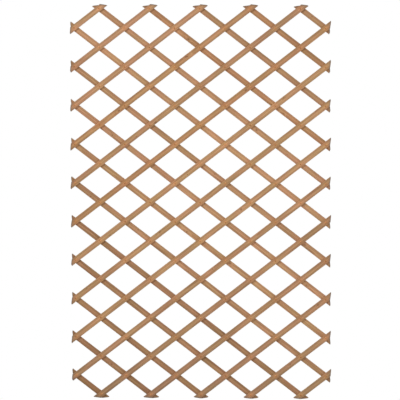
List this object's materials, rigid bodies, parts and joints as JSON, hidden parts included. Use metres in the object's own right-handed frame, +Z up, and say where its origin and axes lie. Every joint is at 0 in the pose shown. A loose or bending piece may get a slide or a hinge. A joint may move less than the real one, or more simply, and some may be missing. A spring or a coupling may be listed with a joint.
{
  "type": "expanding trellis panel",
  "caption": "Tall lattice panel of crossed wooden slats, riveted at every crossing so that it folds, for climbing plants against a wall or fence.",
  "frame": {"origin": "middle of the panel on its back plane, on the axis of the centre rivet", "axes": "+Z up the panel, +X to the right as seen from the front, +Y into the wall behind it"},
  "size_m": [1.2056, 0.0177, 1.8358],
  "materials": {
    "front_wood": "sawn, oiled",
    "back_wood": "sawn, oiled",
    "rivet_metal": "dulled, coppered"
  },
  "bodies": {
    "centre": {"centre_rivet": "rivet_metal"},
    "front_01": {"front_slat_01": "front_wood", "rivet_row_01": "rivet_metal"},
    "front_02": {"front_slat_02": "front_wood", "rivet_row_02": "rivet_metal"},
    "front_03": {"front_slat_03": "front_wood", "rivet_row_03": "rivet_metal"},
    "front_04": {"front_slat_04": "front_wood", "rivet_row_04": "rivet_metal"},
    "front_05": {"front_slat_05": "front_wood", "rivet_row_05": "rivet_metal"},
    "front_06": {"front_slat_06": "front_wood", "rivet_row_06": "rivet_metal"},
    "front_07": {"front_slat_07": "front_wood", "rivet_row_07": "rivet_metal"},
    "front_08": {"front_slat_08": "front_wood", "rivet_row_08": "rivet_metal"},
    "front_09": {"front_slat_09": "front_wood", "rivet_row_09": "rivet_metal"},
    "front_10": {"front_slat_10": "front_wood", "rivet_row_10": "rivet_metal"},
    "front_11": {"front_slat_11": "front_wood", "rivet_row_11": "rivet_metal"},
    "front_12": {"front_slat_12": "front_wood", "rivet_row_12": "rivet_metal"},
    "front_13": {"front_slat_13": "front_wood", "rivet_row_13": "rivet_metal"},
    "front_14": {"front_slat_14": "front_wood", "rivet_row_14": "rivet_metal"},
    "front_15": {"front_slat_15": "front_wood", "rivet_row_15": "rivet_metal"},
    "back_01": {"back_slat_01": "back_wood"},
    "back_02": {"back_slat_02": "back_wood"},
    "back_03": {"back_slat_03": "back_wood"},
    "back_04": {"back_slat_04": "back_wood"},
    "back_05": {"back_slat_05": "back_wood"},
    "back_06": {"back_slat_06": "back_wood"},
    "back_07": {"back_slat_07": "back_wood"},
    "back_08": {"back_slat_08": "back_wood"},
    "back_09": {"back_slat_09": "back_wood"},
    "back_10": {"back_slat_10": "back_wood"},
    "back_11": {"back_slat_11": "back_wood"},
    "back_12": {"back_slat_12": "back_wood"},
    "back_13": {"back_slat_13": "back_wood"},
    "back_14": {"back_slat_14": "back_wood"},
    "back_15": {"back_slat_15": "back_wood"}
  },
  "joints": [
    {"name": "fold", "type": "hinge", "parent": "centre", "child": "front_08", "pos_m": [0, 0, 0], "axis": [0, -1, 0], "range_deg": [-32.5, 47]},
    {"name": "back_08_pivot", "type": "hinge", "parent": "centre", "child": "back_08", "pos_m": [0, 0, 0], "axis": [0, -1, 0], "range_deg": [-47, 32.5]},
    {"name": "front_01_pivot", "type": "hinge", "parent": "back_06", "child": "front_01", "pos_m": [-0.57879, 0, 0.80812], "axis": [0, -1, 0], "range_deg": [-65, 94]},
    {"name": "front_02_pivot", "type": "hinge", "parent": "back_06", "child": "front_02", "pos_m": [-0.46303, 0, 0.71833], "axis": [0, -1, 0], "range_deg": [-65, 94]},
    {"name": "front_03_pivot", "type": "hinge", "parent": "back_08", "child": "front_03", "pos_m": [-0.57879, 0, 0.44895], "axis": [0, -1, 0], "range_deg": [-65, 94]},
    {"name": "front_04_pivot", "type": "hinge", "parent": "back_08", "child": "front_04", "pos_m": [-0.46303, 0, 0.35916], "axis": [0, -1, 0], "range_deg": [-65, 94]},
    {"name": "front_05_pivot", "type": "hinge", "parent": "back_08", "child": "front_05", "pos_m": [-0.34727, 0, 0.26937], "axis": [0, -1, 0], "range_deg": [-65, 94]},
    {"name": "front_06_pivot", "type": "hinge", "parent": "back_08", "child": "front_06", "pos_m": [-0.23152, 0, 0.17958], "axis": [0, -1, 0], "range_deg": [-65, 94]},
    {"name": "front_07_pivot", "type": "hinge", "parent": "back_08", "child": "front_07", "pos_m": [-0.11576, 0, 0.08979], "axis": [0, -1, 0], "range_deg": [-65, 94]},
    {"name": "front_09_pivot", "type": "hinge", "parent": "back_08", "child": "front_09", "pos_m": [0.11576, 0, -0.08979], "axis": [0, -1, 0], "range_deg": [-65, 94]},
    {"name": "front_10_pivot", "type": "hinge", "parent": "back_08", "child": "front_10", "pos_m": [0.23152, 0, -0.17958], "axis": [0, -1, 0], "range_deg": [-65, 94]},
    {"name": "front_11_pivot", "type": "hinge", "parent": "back_08", "child": "front_11", "pos_m": [0.34727, 0, -0.26937], "axis": [0, -1, 0], "range_deg": [-65, 94]},
    {"name": "front_12_pivot", "type": "hinge", "parent": "back_08", "child": "front_12", "pos_m": [0.46303, 0, -0.35916], "axis": [0, -1, 0], "range_deg": [-65, 94]},
    {"name": "front_13_pivot", "type": "hinge", "parent": "back_08", "child": "front_13", "pos_m": [0.57879, 0, -0.44895], "axis": [0, -1, 0], "range_deg": [-65, 94]},
    {"name": "front_14_pivot", "type": "hinge", "parent": "back_10", "child": "front_14", "pos_m": [0.46303, 0, -0.71833], "axis": [0, -1, 0], "range_deg": [-65, 94]},
    {"name": "front_15_pivot", "type": "hinge", "parent": "back_10", "child": "front_15", "pos_m": [0.57879, 0, -0.80812], "axis": [0, -1, 0], "range_deg": [-65, 94]},
    {"name": "back_01_pivot", "type": "hinge", "parent": "front_06", "child": "back_01", "pos_m": [0.57879, 0, 0.80812], "axis": [0, -1, 0], "range_deg": [-94, 65]},
    {"name": "back_02_pivot", "type": "hinge", "parent": "front_06", "child": "back_02", "pos_m": [0.46303, 0, 0.71833], "axis": [0, -1, 0], "range_deg": [-94, 65]},
    {"name": "back_03_pivot", "type": "hinge", "parent": "front_08", "child": "back_03", "pos_m": [0.57879, 0, 0.44895], "axis": [0, -1, 0], "range_deg": [-94, 65]},
    {"name": "back_04_pivot", "type": "hinge", "parent": "front_08", "child": "back_04", "pos_m": [0.46303, 0, 0.35916], "axis": [0, -1, 0], "range_deg": [-94, 65]},
    {"name": "back_05_pivot", "type": "hinge", "parent": "front_08", "child": "back_05", "pos_m": [0.34727, 0, 0.26937], "axis": [0, -1, 0], "range_deg": [-94, 65]},
    {"name": "back_06_pivot", "type": "hinge", "parent": "front_08", "child": "back_06", "pos_m": [0.23152, 0, 0.17958], "axis": [0, -1, 0], "range_deg": [-94, 65]},
    {"name": "back_07_pivot", "type": "hinge", "parent": "front_08", "child": "back_07", "pos_m": [0.11576, 0, 0.08979], "axis": [0, -1, 0], "range_deg": [-94, 65]},
    {"name": "back_09_pivot", "type": "hinge", "parent": "front_08", "child": "back_09", "pos_m": [-0.11576, 0, -0.08979], "axis": [0, -1, 0], "range_deg": [-94, 65]},
    {"name": "back_10_pivot", "type": "hinge", "parent": "front_08", "child": "back_10", "pos_m": [-0.23152, 0, -0.17958], "axis": [0, -1, 0], "range_deg": [-94, 65]},
    {"name": "back_11_pivot", "type": "hinge", "parent": "front_08", "child": "back_11", "pos_m": [-0.34727, 0, -0.26937], "axis": [0, -1, 0], "range_deg": [-94, 65]},
    {"name": "back_12_pivot", "type": "hinge", "parent": "front_08", "child": "back_12", "pos_m": [-0.46303, 0, -0.35916], "axis": [0, -1, 0], "range_deg": [-94, 65]},
    {"name": "back_13_pivot", "type": "hinge", "parent": "front_08", "child": "back_13", "pos_m": [-0.57879, 0, -0.44895], "axis": [0, -1, 0], "range_deg": [-94, 65]},
    {"name": "back_14_pivot", "type": "hinge", "parent": "front_10", "child": "back_14", "pos_m": [-0.46303, 0, -0.71833], "axis": [0, -1, 0], "range_deg": [-94, 65]},
    {"name": "back_15_pivot", "type": "hinge", "parent": "front_10", "child": "back_15", "pos_m": [-0.57879, 0, -0.80812], "axis": [0, -1, 0], "range_deg": [-94, 65]}
  ],
  "couplings": [
    {"joint": "back_08_pivot", "follows": "fold", "ratio": -1},
    {"joint": "front_01_pivot", "follows": "fold", "ratio": 2},
    {"joint": "front_02_pivot", "follows": "fold", "ratio": 2},
    {"joint": "front_03_pivot", "follows": "fold", "ratio": 2},
    {"joint": "front_04_pivot", "follows": "fold", "ratio": 2},
    {"joint": "front_05_pivot", "follows": "fold", "ratio": 2},
    {"joint": "front_06_pivot", "follows": "fold", "ratio": 2},
    {"joint": "front_07_pivot", "follows": "fold", "ratio": 2},
    {"joint": "front_09_pivot", "follows": "fold", "ratio": 2},
    {"joint": "front_10_pivot", "follows": "fold", "ratio": 2},
    {"joint": "front_11_pivot", "follows": "fold", "ratio": 2},
    {"joint": "front_12_pivot", "follows": "fold", "ratio": 2},
    {"joint": "front_13_pivot", "follows": "fold", "ratio": 2},
    {"joint": "front_14_pivot", "follows": "fold", "ratio": 2},
    {"joint": "front_15_pivot", "follows": "fold", "ratio": 2},
    {"joint": "back_01_pivot", "follows": "fold", "ratio": -2},
    {"joint": "back_02_pivot", "follows": "fold", "ratio": -2},
    {"joint": "back_03_pivot", "follows": "fold", "ratio": -2},
    {"joint": "back_04_pivot", "follows": "fold", "ratio": -2},
    {"joint": "back_05_pivot", "follows": "fold", "ratio": -2},
    {"joint": "back_06_pivot", "follows": "fold", "ratio": -2},
    {"joint": "back_07_pivot", "follows": "fold", "ratio": -2},
    {"joint": "back_09_pivot", "follows": "fold", "ratio": -2},
    {"joint": "back_10_pivot", "follows": "fold", "ratio": -2},
    {"joint": "back_11_pivot", "follows": "fold", "ratio": -2},
    {"joint": "back_12_pivot", "follows": "fold", "ratio": -2},
    {"joint": "back_13_pivot", "follows": "fold", "ratio": -2},
    {"joint": "back_14_pivot", "follows": "fold", "ratio": -2},
    {"joint": "back_15_pivot", "follows": "fold", "ratio": -2}
  ]
}
